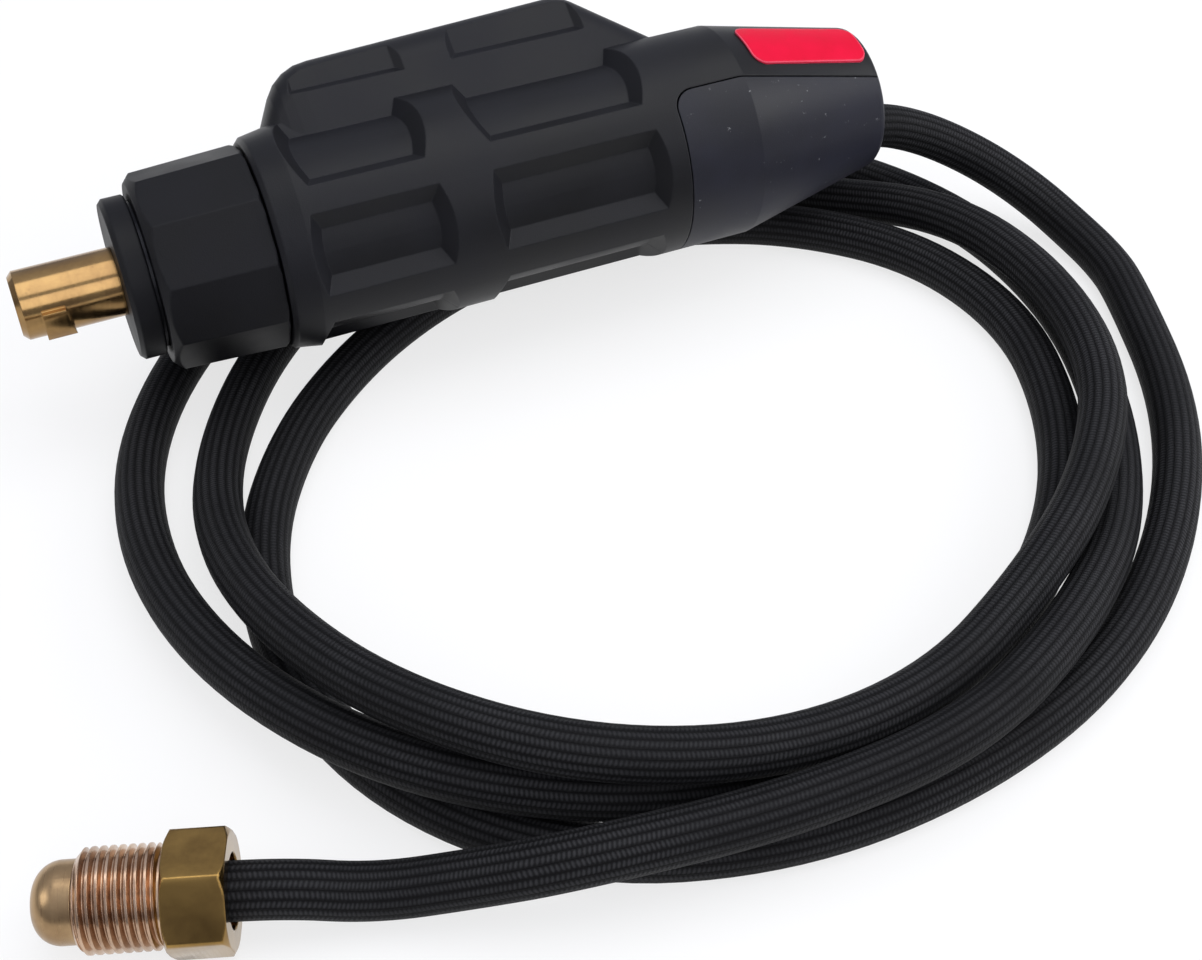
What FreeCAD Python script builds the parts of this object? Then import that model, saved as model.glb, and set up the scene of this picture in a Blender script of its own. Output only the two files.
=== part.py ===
import FreeCAD, Part
import math
import os
from FreeCAD import Vector

# Millimetres. The origin is on the plug's axis at the flange's front face, +X runs
# back towards the hose outlet, -Y is the near side and +Z is up. The adapter lies on
# its own coiled hose, and its hump leans back from upright.

# Plug and pressure flange
pin_radius = 6.5
pin_length = 19.2
pin_chamfer = 1.0
shank_radius = 6.3
lug_radius = 8.1
lug_length = 5.6
lug_front = 4.1
lug_sector = 45.0
lug_direction = -5.0
lug_slant = 9.0
flange_radius = 15.25
flange_thickness = 4.8
flange_round = 0.8
neck_radius = 12.2
hub_radius = 9.5
key_engaged = 5.5
key_width = 3.0
key_radius = 11.0
running_gap = 0.3
bore_gap = 0.25
plug_collar_radius = 9.2
plug_collar_length = 5.4
stem_radius = 4.95
stem_length = 12.0

# Locking nut, its washer and its ring
nut_sides = 10
nut_front_across = 37.6
nut_rear_across = 39.4
nut_corner_direction = 97.4
nut_length = 21.6
nut_wall = 2.9
nut_front_cone = 2.6
washer_thickness = 0.6
washer_inset = 1.4
washer_gap = 0.05
ring_thickness = 1.0
ring_radius = 14.0
ring_groove_depth = 0.8
nut_travel = 4.0

# Housing
nose_radius = 15.4
body_gap = 0.4
band_length = 5.6
band_drop = 0.8
barrel_radius = 21.2
cone_start = 123.0
body_end = 154.0
rear_radius = 14.4
rear_round = 1.8
outlet_radius = 12.2
wall = 2.5
pocket_depth = 2.7
pocket_floor_wall = 1.9
front_wall_end = 37.5
neck_cavity_start = 103.0
hump_lean = 49.0
hump_crest_radius = 7.5
hump_crest_height = 33.9
hump_rise = 1.6
hump_draft = 10.0
hump_root = 12.0
hump_foot = 32.2
hump_front_slope = 61.0
hump_front_round = 10.5
hump_flat_end = 95.2
hump_rear_slope = 37.5
hump_rear_round = 7.0
hump_end = 116.0

# Grip pockets: each row round the barrel has its angle from the hump and its half-width
pocket_rows = ((50.0, 29.0), (114.8, 21.5), (180.0, 25.0))
pocket_side_bevel = 7.6
pocket_end_bevel = 2.6
front_pockets = (33.0, 60.3)
rear_pockets = (68.0, 103.8)
hump_pocket_depth = 1.5
hump_pocket_bevel = 1.7
hump_pocket_foot = 23.0
hump_front_pocket = (38.7, 62.4)
hump_rear_pocket = (71.3, 99.6)

# Rear cover and label
cover_front = 107.6
seam_height = 5.1
seam_rear_height = -0.2
seam_kink = 122.0
seam_corner = 4.0
seam_gap = 0.25
tongue_reach = 2.9
tongue_thickness = 1.3
cover_screw_places = ((115.5, 12.4), (133.0, 10.0))
label_start = 127.0
label_end = 151.8
label_front_width = 10.8
label_rear_width = 7.0
label_angle = 52.0
label_round = 2.4
label_depth = 0.3
label_proud = 0.35
label_gap = 0.15

# Fasteners
screw_radius = 1.25
screw_hole = 1.5
screw_head_radius = 2.2
screw_head_length = 1.8
boss_radius = 2.9
head_recess = 1.0
front_screw_x = 30.6
front_screw_height = 13.6
middle_screw_x = 64.2
middle_screw_height = 12.6
screw_tip_side = 8.0

# Brass parts inside
block_half = 9.0
block_clearance = 0.3
block_end = 66.0
block_chamfer = 1.2
lock_washer_thickness = 0.6
lock_washer_radius = 8.6
arm_start = 47.0
arm_end = 60.0
arm_half = 4.6
arm_top = 25.8
barb_height = 21.5
barb_washer_thickness = 0.8
barb_hex = 9.0
barb_hex_length = 4.0
barb_thread_radius = 3.4
barb_thread_length = 4.2
barb_radius = 2.6
barb_ferrule_radius = 5.3
barb_ferrule_length = 12.0
gas_bore = 1.6
passage_radius = 2.0
cross_radius = 1.7
passage_plug_radius = 2.4
passage_plug_length = 2.4
stud_radius = 4.76
stud_root_radius = 5.0
stud_grip = 12.0
stud_end = 84.0
jam_nut_hex = 14.0
jam_nut_thickness = 5.0

# Gas hose and its end fitting
hose_radius = 4.5
layer = 9.8
rest_gap = 0.4
flat_depth = 0.5
fitting_corner = (-13.3, -121.7)
fitting_heading = 161.6
gas_hex = 17.5
gas_hex_length = 9.4
gas_ring_length = 1.1
gas_ring_radius = 7.1
gas_thread_radius = 7.94
gas_thread_length = 12.0
gas_thread_chamfer = 1.1
gas_nut_bore = 5.75
nipple_radius = 6.3
nipple_nose = 6.6
nipple_shoulder = 2.2
nipple_stem_radius = 5.4
end_ferrule_radius = 5.4
end_ferrule_start = 2.0
end_ferrule_length = 8.0
nipple_seat_gap = 0.2

# Places worked out from the sizes
flange_back = flange_thickness
nut_front = flange_back + 2 * washer_gap + washer_thickness
nut_wall_end = nut_front + nut_wall
nut_back = nut_front + nut_length
ring_front = nut_wall_end + 0.15
hub_front = ring_front + ring_thickness + 0.1
nose_front = hub_front + 0.8
hub_end = nose_front + nut_travel + key_engaged
body_front = nut_back + body_gap
plug_collar_front = body_front - 4.0
block_front = plug_collar_front + plug_collar_length + lock_washer_thickness
pocket_floor = barrel_radius - pocket_depth
cavity_radius = pocket_floor - pocket_floor_wall
neck_cavity = barrel_radius - wall - 0.1
floor_height = -(barrel_radius + rest_gap + 2 * hose_radius - flat_depth)
hose_rest = floor_height + hose_radius - flat_depth
passage_x = arm_end - barb_thread_length - passage_plug_radius - 0.5
hose_start_x = arm_end + barb_washer_thickness + barb_hex_length + barb_ferrule_length

# The hose's coil, as rows of (radius, lift) about its centre. Each row is one turn,
# at even steps of angle from the right-hand side, turning clockwise seen from above.
coil_centre = (84.9, -50.0)
coil_start_angle = 0.0
coil_step = 20.0
coil_spread = 1.015
coil_turns = [
    [(107.0, 0), (100.8, 0), (97.6, 0), (96.2, 0), (93.9, 0), (93.4, 0),
     (96.7, 0), (93.4, 0), (82.4, 0), (74.2, 0), (65.8, 0), (59.8, 0),
     (57.5, 0), (57.5, 0), (59.5, 0), (64.0, 0), (71.0, 0), (78.6, 0)],
    [(81.0, 0), (78.8, 0), (78.0, 0), (78.0, 0), (80.2, 0), (83.6, 0),
     (84.8, 3.2), (91.2, 11.0), (92.6, 7.5), (93.4, 0), (94.2, 0), (93.2, 0),
     (88.5, 5.0), (82.5, 10.3), (76.5, 9.8), (75.5, 2.0), (81.8, 0), (87.4, 6.4)],
    [(87.2, 8.9), (86.2, 9.5), (83.2, 10.6), (79.4, 11.4), (82.2, 10.4), (84.4, 10.4),
     (79.7, 12.5), (78.6, 10.8), (82.3, 9.9), (80.8, 8.2), (79.4, 0), (76.8, 0),
     (77.0, 0), (79.0, 0), (85.0, 0), (90.8, 0), (95.0, 0), (94.8, 0)],
    [(91.8, 0), (88.7, 0), (88.0, 1.0), (88.2, 7.1), (92.4, layer), (94.2, layer),
     (101.5, 9.2)],
]
# From the gas barb out of the rear and down to the floor, as (x, y, z)
lead_points = [
    (98.5, 14.0, 11.5),
    (113.5, 7.6, 5.0),
    (128.5, 1.0, 0.0),
    (143.5, -4.0, -3.2),
    (154.0, -5.0, -4.2),
    (163.0, -5.4, -6.5),
    (171.5, -6.6, -11.3),
    (180.0, -10.5, -17.0),
    (187.0, -17.2, -21.8),
    (191.8, -27.0, -25.2),
    (193.6, -39.0, -26.1),
]
# From the last turn to the end fitting, as (x, y, lift)
tail_points = [
    (20.5, -133.6, 4.6),
    (6.3, -128.0, 1.2),
]


def revolve(points):
    """A solid turned about the X axis from an outline of (x, radius)."""
    wire = Part.makePolygon([Vector(x, 0, r) for x, r in points + points[:1]])
    return Part.Face(wire).revolve(Vector(0, 0, 0), Vector(1, 0, 0), 360)


def rod(x0, x1, radius, y=0.0, z=0.0):
    return Part.makeCylinder(radius, x1 - x0, Vector(x0, y, z), Vector(1, 0, 0))


def tube(x0, x1, outer, inner):
    return rod(x0, x1, outer).cut(rod(x0 - 1, x1 + 1, inner))


def polygon_wire(x, sides, across_corners, first_angle):
    """A regular polygon across the X axis, with a corner at first_angle from +Y."""
    radius = across_corners / 2
    step = 2 * math.pi / sides
    start = math.radians(first_angle)
    corners = []
    for i in range(sides + 1):
        angle = start + step * i
        corners.append(Vector(x, radius * math.cos(angle), radius * math.sin(angle)))
    return Part.makePolygon(corners)


def hexagon(x0, x1, across_flats, first_angle=30.0):
    wire = polygon_wire(x0, 6, across_flats / math.cos(math.pi / 6), first_angle)
    return Part.Face(wire).extrude(Vector(x1 - x0, 0, 0))


def side_outline(points, half_width):
    """A slab across the body, cut to an outline of (x, height) edges."""
    face = Part.Face(Part.Wire(points))
    return face.extrude(Vector(0, 2 * half_width, 0))


def line(a, b, side):
    return Part.LineSegment(Vector(a[0], side, a[1]), Vector(b[0], side, b[1])).toShape()


def arc(a, b, c, side):
    points = [Vector(p[0], side, p[1]) for p in (a, b, c)]
    return Part.Arc(*points).toShape()


def from_hump(shape):
    """Turn a shape from the upright housing's frame to how the adapter lies."""
    turned = shape.copy()
    turned.rotate(Vector(0, 0, 0), Vector(1, 0, 0), -hump_lean)
    return turned


def hump_point(x, height):
    lean = math.radians(hump_lean)
    return Vector(x, height * math.sin(lean), height * math.cos(lean))


def save(name, *solids):
    shape = solids[0] if len(solids) == 1 else Part.makeCompound(list(solids))
    parts = shape.Solids
    for solid in parts:
        if not solid.isValid():
            raise ValueError(name + " is not valid")
    shape.exportStep("parts/" + name + ".step")
    print("%-20s %2d solid(s) %10.1f mm3" % (name, len(parts), sum(s.Volume for s in parts)))


# Contact plug
def contact_plug():
    collar_end = plug_collar_front + plug_collar_length
    tip = -pin_length
    body = revolve([
        (tip, 0),
        (tip, pin_radius - pin_chamfer),
        (tip + pin_chamfer, pin_radius),
        (0, pin_radius),
        (0, shank_radius),
        (plug_collar_front, shank_radius),
        (plug_collar_front, plug_collar_radius),
        (collar_end, plug_collar_radius),
        (collar_end, stem_radius),
        (collar_end + stem_length, stem_radius),
        (collar_end + stem_length, 0),
    ])
    return body.fuse(bayonet_lug()).removeSplitter()


def bayonet_lug():
    """The cam on the pin: a sector whose rear face slants like a thread."""
    front = -pin_length + lug_front
    sector = Part.makeCylinder(lug_radius, lug_length, Vector(front, 0, 0),
                               Vector(1, 0, 0), lug_sector)
    centre = 180.0 - lug_direction
    base = sector.CenterOfMass
    now = math.degrees(math.atan2(base.z, base.y))
    sector.rotate(Vector(0, 0, 0), Vector(1, 0, 0), centre - now)
    cutter = Part.makeBox(lug_length, 3 * lug_radius, 3 * lug_radius,
                          Vector(0, -1.5 * lug_radius, -1.5 * lug_radius))
    toward = Vector(0, math.cos(math.radians(centre)), math.sin(math.radians(centre)))
    cutter.rotate(Vector(0, 0, 0), toward, lug_slant)
    cutter.translate(Vector(front + lug_length * 0.86, 0, 0))
    return sector.cut(cutter)


# Pressure flange, its thrust washer and its snap ring
def flange_bore():
    return rod(-1, hub_end + 1, shank_radius + bore_gap)


def pressure_flange():
    groove = neck_radius - ring_groove_depth
    body = revolve([
        (0, 0),
        (0, flange_radius - flange_round),
        (flange_round, flange_radius),
        (flange_back - 0.3, flange_radius),
        (flange_back, flange_radius - 0.3),
        (flange_back, neck_radius),
        (ring_front, neck_radius),
        (ring_front, groove),
        (hub_front - 0.1, groove),
        (hub_front - 0.1, neck_radius),
        (hub_front + 0.5, neck_radius),
        (hub_front + 0.5, hub_radius),
        (hub_end, hub_radius),
        (hub_end, 0),
    ])
    for side in (-1, 1):
        key = Part.makeBox(hub_end - nose_front - 0.5, key_width, key_radius,
                           Vector(nose_front + 0.5, -key_width / 2, 0))
        if side < 0:
            key.rotate(Vector(0, 0, 0), Vector(1, 0, 0), 180)
        body = body.fuse(key)
    return body.cut(flange_bore())


def thrust_washer():
    front = flange_back + washer_gap
    return tube(front, front + washer_thickness, flange_radius - washer_inset, neck_radius + 0.05)


def retaining_ring():
    inner = neck_radius - ring_groove_depth + 0.05
    ring = tube(ring_front + 0.02, ring_front + ring_thickness - 0.02, ring_radius, inner)
    gap = Part.makeBox(3 * ring_thickness, 4.5, ring_radius + 1,
                       Vector(ring_front - ring_thickness, -2.25, -ring_radius - 1))
    return ring.cut(gap)


# Locking nut
def locking_nut():
    first = 180.0 - nut_corner_direction
    front = polygon_wire(nut_front, nut_sides, nut_front_across, first)
    back = polygon_wire(nut_back, nut_sides, nut_rear_across, first)
    body = Part.makeLoft([front, back], True, True)
    corner = nut_rear_across / 2
    envelope = revolve([
        (nut_front, 0),
        (nut_front, corner - nut_front_cone),
        (nut_front + nut_front_cone, corner + 0.2),
        (nut_back - 0.8, corner + 0.2),
        (nut_back, corner - 0.6),
        (nut_back, 0),
    ])
    body = body.common(envelope)
    body = body.cut(rod(nut_front - 1, nut_back + 1, neck_radius + running_gap))
    return body.cut(rod(nut_wall_end, nut_back + 1, nose_radius + running_gap))


# Housing, built upright with the hump along +Z and then turned
def barrel_outline():
    steps = 4
    slope = math.atan2(barrel_radius - rear_radius, body_end - cone_start)
    points = [
        (nose_front, 0),
        (nose_front, nose_radius - 0.8),
        (nose_front + 0.8, nose_radius),
        (body_front, nose_radius),
        (body_front, barrel_radius - 2 * band_drop),
        (body_front + band_drop, barrel_radius - band_drop),
        (body_front + band_length, barrel_radius),
        (cone_start, barrel_radius),
    ]
    centre_x = body_end - rear_round
    centre_r = rear_radius - rear_round * math.tan(math.pi / 4 - slope / 2)
    for i in range(steps + 1):
        angle = (math.pi / 2 - slope) * (1 - i / steps)
        x = centre_x + rear_round * math.cos(angle)
        r = centre_r + rear_round * (math.sin(angle) - math.cos(slope) + 1) - 0.2
        points.append((x, r))
    points.append((body_end, 0))
    return points


def cavity_outline():
    thin = wall * 1.05
    cone_end = rear_radius + wall * 0.4 - thin
    return [
        (front_wall_end, 0),
        (front_wall_end, cavity_radius),
        (neck_cavity_start, cavity_radius),
        (neck_cavity_start + 1.5, neck_cavity),
        (cone_start - 0.5, neck_cavity),
        (body_end - 3.6, cone_end),
        (body_end - 3.6, outlet_radius),
        (body_end + 1, outlet_radius),
        (body_end + 1, 0),
    ]


def hump_section(x, inset):
    """The hump's cross-section: two drafted flanks joined by a round crest."""
    radius = hump_crest_radius - inset
    centre = hump_crest_height - hump_crest_radius
    draft = math.radians(hump_draft)
    side = radius * math.cos(draft)
    top = centre + radius * math.sin(draft)
    foot = side + (top - hump_root) * math.tan(draft)
    left = Vector(x, -foot, hump_root)
    left_top = Vector(x, -side, top)
    crest = Vector(x, 0, centre + radius)
    right_top = Vector(x, side, top)
    right = Vector(x, foot, hump_root)
    edges = [
        Part.LineSegment(left, left_top).toShape(),
        Part.Arc(left_top, crest, right_top).toShape(),
        Part.LineSegment(right_top, right).toShape(),
        Part.LineSegment(right, left).toShape(),
    ]
    return Part.Wire(edges)


def corner_stations(x, drop, first, last, radius):
    """Stations round one corner of the hump's crest line, from one slope to the next."""
    steps = 4
    stations = []
    for i in range(steps + 1):
        slope = math.radians(first + (last - first) * i / steps)
        stations.append((x - radius * math.sin(slope), drop + radius * (1 - math.cos(slope))))
    return stations


def hump_stations():
    """The crest line from front to rear, as (x, how far the section is lowered)."""
    front = math.radians(hump_front_slope)
    rise = hump_front_round * (1 - math.cos(front))
    foot_drop = hump_crest_height - barrel_radius + 2 * band_drop
    corner_x = (hump_foot + hump_front_round * math.sin(front)
                + (foot_drop - hump_rise - rise) / math.tan(front))
    stations = [(hump_foot - 1.0, foot_drop + math.tan(front))]
    stations += corner_stations(corner_x, hump_rise, hump_front_slope, 0.0, hump_front_round)
    stations += corner_stations(hump_flat_end, 0.0, 0.0, -hump_rear_slope, hump_rear_round)
    last_x, last_drop = stations[-1]
    stations.append((hump_end, last_drop + (hump_end - last_x) * math.tan(math.radians(hump_rear_slope))))
    return stations


def hump_loft(inset, front_shift, rear_shift):
    wires = []
    for x, drop in hump_stations():
        shift = front_shift if x < (hump_foot + hump_end) / 2 else -rear_shift
        wire = hump_section(x + shift, inset)
        wire.translate(Vector(0, 0, -drop))
        wires.append(wire)
    return Part.makeLoft(wires, True, True)


def hump_cavity():
    room = hump_loft(wall, wall * 0.8, wall * 0.4)
    reach = 4 * barrel_radius
    behind = Part.makeBox(reach, reach, reach, Vector(front_wall_end, -reach / 2, -reach / 4))
    return room.common(behind)


def rectangle(x0, x1, side, height):
    corners = [(x0, -side), (x1, -side), (x1, side), (x0, side), (x0, -side)]
    return Part.makePolygon([Vector(x, y, height) for x, y in corners])


def pocket(x0, x1, angle, half_angle):
    """One grip pocket: a curved floor inside four bevelled walls."""
    rim = math.radians(half_angle)
    base = math.radians(half_angle - pocket_side_bevel)
    rim_side = barrel_radius * math.sin(rim)
    rim_height = barrel_radius * math.cos(rim)
    base_side = pocket_floor * math.sin(base)
    base_height = pocket_floor * math.cos(base)
    spread = (rim_side - base_side) / (rim_height - base_height)
    low = base_height - 0.6
    high = barrel_radius + 1.0
    run = pocket_end_bevel / pocket_depth
    rims = []
    for height in (low, high):
        side = base_side + (height - base_height) * spread
        inset = (barrel_radius - height) * run
        rims.append(rectangle(x0 + inset, x1 - inset, side, height))
    block = Part.makeLoft(rims, True, True)
    block = block.cut(rod(x0 - 5, x1 + 5, pocket_floor))
    block.rotate(Vector(0, 0, 0), Vector(1, 0, 0), angle)
    return block


def hump_pocket(x0, x1, side):
    """A pocket on one flank of the hump, open over the crest."""
    draft = math.radians(hump_draft)
    centre = hump_crest_height - hump_crest_radius
    foot = (hump_pocket_foot - centre) / math.cos(draft)
    reach = 3 * hump_crest_radius
    rims = []
    for depth in (-hump_pocket_depth, hump_pocket_depth):
        inset = -hump_pocket_bevel * depth / hump_pocket_depth
        a = x0 + inset
        b = x1 - inset
        low = foot + inset
        out = hump_crest_radius + depth
        corners = [(a, low), (b, low), (b, reach), (a, reach), (a, low)]
        rims.append(Part.makePolygon([Vector(x, out, w) for x, w in corners]))
    block = Part.makeLoft(rims, True, True)
    block.rotate(Vector(0, 0, 0), Vector(1, 0, 0), hump_draft)
    block.translate(Vector(0, 0, centre))
    if side < 0:
        block = block.mirror(Vector(0, 0, 0), Vector(0, 1, 0))
    return block


def key_slots():
    slots = []
    for angle in (0, 180):
        slot = Part.makeBox(plug_collar_front - nose_front + 1, key_width + 0.5, key_radius + running_gap,
                            Vector(nose_front - 1, -(key_width + 0.5) / 2, 0))
        slot.rotate(Vector(0, 0, 0), Vector(1, 0, 0), angle)
        slots.append(slot)
    return slots


def side_screw_places():
    return [
        (front_screw_x, front_screw_height),
        (front_screw_x, -front_screw_height),
        (middle_screw_x, -middle_screw_height),
    ]


def side_screw_head(height):
    """How far out to the far side a screw's head may stand under the surface."""
    return math.sqrt(barrel_radius ** 2 - height ** 2) - head_recess


def housing_body():
    body = revolve(barrel_outline())
    for x0, x1 in (front_pockets, rear_pockets):
        for row, half_angle in pocket_rows:
            angles = (row, -row) if row < 180 else (row,)
            for angle in angles:
                body = body.cut(pocket(x0, x1, angle, half_angle))
    hump = hump_loft(0.0, 0.0, 0.0)
    for x0, x1 in (hump_front_pocket, hump_rear_pocket):
        for side in (-1, 1):
            hump = hump.cut(hump_pocket(x0, x1, side))
    body = body.fuse(hump)
    body = body.cut(revolve(cavity_outline()).fuse(hump_cavity()))
    body = body.cut(rod(nose_front - 1, block_front, hub_radius + running_gap))
    socket = block_half + block_clearance
    body = body.cut(Part.makeBox(front_wall_end - block_front + 1.3, 2 * socket, 2 * socket,
                                 Vector(block_front - 0.3, -socket, -socket)))
    body = body.fuse(block_rib())
    for slot in key_slots():
        turned = slot.copy()
        turned.rotate(Vector(0, 0, 0), Vector(1, 0, 0), hump_lean)
        body = body.cut(turned)
    return add_bosses(body)


def block_rib():
    """The rib across the barrel that steadies the block's rear end."""
    start = arm_end + 2.0
    rib = rod(start, start + 2.4, cavity_radius + 0.4)
    socket = block_half + block_clearance
    window = Part.makeBox(6, 2 * socket, 2 * socket, Vector(start - 1, -socket, -socket))
    channel = Part.makeBox(6, 2 * barb_ferrule_radius + 1.0, barrel_radius,
                           Vector(start - 1, -barb_ferrule_radius - 0.5, 0))
    return rib.cut(window).cut(channel)


def add_bosses(body):
    x, height = middle_screw_x, -middle_screw_height
    reach = math.sqrt(cavity_radius ** 2 - height ** 2) + 1.0
    boss = Part.makeCylinder(boss_radius, 2 * reach, Vector(x, -reach, height), Vector(0, 1, 0))
    body = body.fuse(boss)
    for x, height in side_screw_places():
        head = side_screw_head(height)
        shaft = Part.makeCylinder(screw_hole, head, Vector(x, 0, height), Vector(0, 1, 0))
        thread = Part.makeCylinder(screw_radius, screw_tip_side + 1,
                                   Vector(x, -screw_tip_side - 1, height), Vector(0, 1, 0))
        seat = Part.makeCylinder(screw_head_radius + 0.2, 10,
                                 Vector(x, head - screw_head_length, height), Vector(0, 1, 0))
        body = body.cut(shaft).cut(thread).cut(seat)
    return body


def side_screws():
    screws = []
    for x, height in side_screw_places():
        head = side_screw_head(height)
        under = head - screw_head_length
        shank = Part.makeCylinder(screw_radius, under + screw_tip_side,
                                  Vector(x, -screw_tip_side, height), Vector(0, 1, 0))
        cap = Part.makeCylinder(screw_head_radius, screw_head_length,
                                Vector(x, under, height), Vector(0, 1, 0))
        screws.append(from_hump(shank.fuse(cap)))
    return screws


# The rear cover is everything below the seam and behind the cover's front edge
def seam_cutter(gap):
    side = -2 * barrel_radius
    front = cover_front + gap
    top = seam_height - gap
    rear_top = seam_rear_height - gap
    corner = seam_corner
    low = -2 * barrel_radius
    far = body_end + 5
    bend = corner * (1 - math.sqrt(0.5))
    edges = [
        line((front, low), (front, top - corner), side),
        arc((front, top - corner), (front + bend, top - bend), (front + corner, top), side),
        line((front + corner, top), (seam_kink, top), side),
        line((seam_kink, top), (body_end, rear_top), side),
        line((body_end, rear_top), (far, rear_top), side),
        line((far, rear_top), (far, low), side),
        line((far, low), (front, low), side),
    ]
    return side_outline(edges, 2 * barrel_radius)


def cover_tongue():
    """A lip ahead of the cover that hooks inside the barrel's wall."""
    outer = neck_cavity - running_gap
    inner = outer - tongue_thickness
    lip = tube(cover_front - tongue_reach, cover_front + 3, outer, inner)
    root = tube(cover_front + 0.6, cover_front + 3, neck_cavity + 0.4, inner)
    below = Part.makeBox(20, 4 * barrel_radius, 2 * barrel_radius,
                         Vector(cover_front - 10, -2 * barrel_radius,
                                seam_height - 2.0 - 2 * barrel_radius))
    return lip.fuse(root).common(below)


def outer_radius(x):
    """The housing's radius at x, on the barrel or on the rear cone."""
    drop = (barrel_radius - rear_radius) / (body_end - cone_start)
    return barrel_radius - max(0.0, x - cone_start) * drop


def cover_screw_seat(x, y):
    low = outer_radius(x + screw_head_radius)
    return head_recess + screw_head_length - math.sqrt(low ** 2 - y ** 2)


def screw_post(x, y, base, top):
    post = Part.makeCylinder(boss_radius, top - base, Vector(x, y, base))
    skin = outer_radius(x + boss_radius) - 0.6
    return post.common(rod(x - 2 * boss_radius, x + 2 * boss_radius, skin))


def rear_cover(body):
    cover = body.common(seam_cutter(seam_gap)).fuse(cover_tongue())
    top = seam_height - 2 * seam_gap - 1.0
    for x, y in cover_screw_places:
        seat = cover_screw_seat(x, y)
        cover = cover.fuse(screw_post(x, y, -barrel_radius, top))
        hole = Part.makeCylinder(screw_hole, 2 * barrel_radius, Vector(x, y, seat - 1))
        head = Part.makeCylinder(screw_head_radius + 0.2, 2 * barrel_radius,
                                 Vector(x, y, seat - 2 * barrel_radius))
        cover = cover.cut(hole).cut(head)
    return cover


def shell_posts():
    """Posts above the seam that take the cover's screws."""
    return [screw_post(x, y, seam_height - 1.0, barrel_radius) for x, y in cover_screw_places]


def cover_screws():
    screws = []
    for x, y in cover_screw_places:
        seat = cover_screw_seat(x, y)
        cap = Part.makeCylinder(screw_head_radius, screw_head_length, Vector(x, y, seat - screw_head_length))
        shank = Part.makeCylinder(screw_radius, cover_screw_tip() - seat, Vector(x, y, seat))
        screws.append(from_hump(cap.fuse(shank)))
    return screws


def cover_screw_tip():
    return seam_height + 6.0


# Label plate on the cone's near shoulder
def cone_band(low, high):
    """A band that follows the rear cone, from low to high over its surface."""
    points = []
    for x, lift in ((label_start - 2, low), (label_start - 2, high), (label_end + 2, high), (label_end + 2, low)):
        points.append((x, outer_radius(x) + lift))
    return revolve(points)


def label_prism(grow):
    """The label's outline, wide in front and narrow behind, with its corners rounded."""
    x0 = label_start - grow
    x1 = label_end + grow
    front = label_front_width / 2 + grow
    rear = label_rear_width / 2 + grow
    corners = [Vector(x0, -front, 0), Vector(x1, -rear, 0), Vector(x1, rear, 0), Vector(x0, front, 0)]
    starts = []
    for i, corner in enumerate(corners):
        back = Vector(corners[i - 1] - corner).normalize()
        ahead = Vector(corners[(i + 1) % 4] - corner).normalize()
        bisector = Vector(back + ahead).normalize()
        half = back.getAngle(ahead) / 2
        cut = label_round / math.tan(half)
        middle = corner + bisector * (label_round / math.sin(half) - label_round)
        starts.append((corner + back * cut, middle, corner + ahead * cut))
    edges = []
    for i, (start, middle, end) in enumerate(starts):
        edges.append(Part.Arc(start, middle, end).toShape())
        edges.append(Part.LineSegment(end, starts[(i + 1) % 4][0]).toShape())
    prism = Part.Face(Part.Wire(edges)).extrude(Vector(0, 0, 2 * barrel_radius))
    prism.rotate(Vector(0, 0, 0), Vector(1, 0, 0), label_angle)
    return prism


def label_plate():
    return from_hump(cone_band(-label_depth, label_proud).common(label_prism(0.0)))


def label_recess():
    return cone_band(-label_depth, 4.0).common(label_prism(label_gap))


def housing():
    """The two shells and the rear cover, in the place where the adapter lies."""
    body = housing_body()
    cover = rear_cover(body)
    shells = body.cut(seam_cutter(0.0))
    for post in shell_posts():
        shells = shells.fuse(post)
    for x, y in cover_screw_places:
        hole = Part.makeCylinder(screw_radius, cover_screw_tip() + 1 + barrel_radius,
                                 Vector(x, y, -barrel_radius))
        shells = shells.cut(hole)
    shells = shells.cut(label_recess())
    size = 4 * barrel_radius
    near_side = Part.makeBox(body_end + 40, size, size, Vector(-20, -size, -size / 2))
    near = shells.common(near_side)
    far = shells.cut(near_side)
    return from_hump(near), from_hump(far), from_hump(cover)


# Brass block, arm and passages, built upright and then turned
def power_block():
    block = Part.makeBox(block_end - block_front, 2 * block_half, 2 * block_half,
                         Vector(block_front, -block_half, -block_half))
    long_edges = [e for e in block.Edges if abs(e.tangentAt(e.FirstParameter).x) > 0.9]
    block = block.makeChamfer(block_chamfer, long_edges)
    arm = Part.makeBox(arm_end - arm_start, 2 * arm_half, arm_top,
                       Vector(arm_start, -arm_half, 0))
    block = block.fuse(arm)
    stem_end = block_front + stem_length + 1.0
    block = block.cut(rod(block_front - 1, stem_end, stem_radius + 0.05))
    block = block.cut(rod(block_end - stud_grip - 2, block_end + 1, stud_root_radius + 0.05))
    block = block.cut(rod(passage_x, block_end, cross_radius))
    drill = Part.makeCylinder(passage_radius, arm_top + 4, Vector(passage_x, 0, -3.0))
    block = block.cut(drill)
    block = block.cut(Part.makeCylinder(passage_plug_radius + 0.05, passage_plug_length + 1,
                                        Vector(passage_x, 0, arm_top - passage_plug_length)))
    block = block.cut(rod(arm_end - barb_thread_length, arm_end + 1, barb_thread_radius + 0.05,
                          0, barb_height))
    block = block.cut(rod(passage_x, arm_end, cross_radius, 0, barb_height))
    return from_hump(block)


def passage_plug():
    plug = Part.makeCylinder(passage_plug_radius, passage_plug_length - 0.1,
                             Vector(passage_x, 0, arm_top - passage_plug_length))
    key = Part.makeCylinder(1.0, 1.2, Vector(passage_x, 0, arm_top - 1.3))
    return from_hump(plug.cut(key))


def lock_washer():
    back = plug_collar_front + plug_collar_length
    ring = tube(back, back + lock_washer_thickness, lock_washer_radius, stem_radius + 0.2)
    return ring


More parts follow.
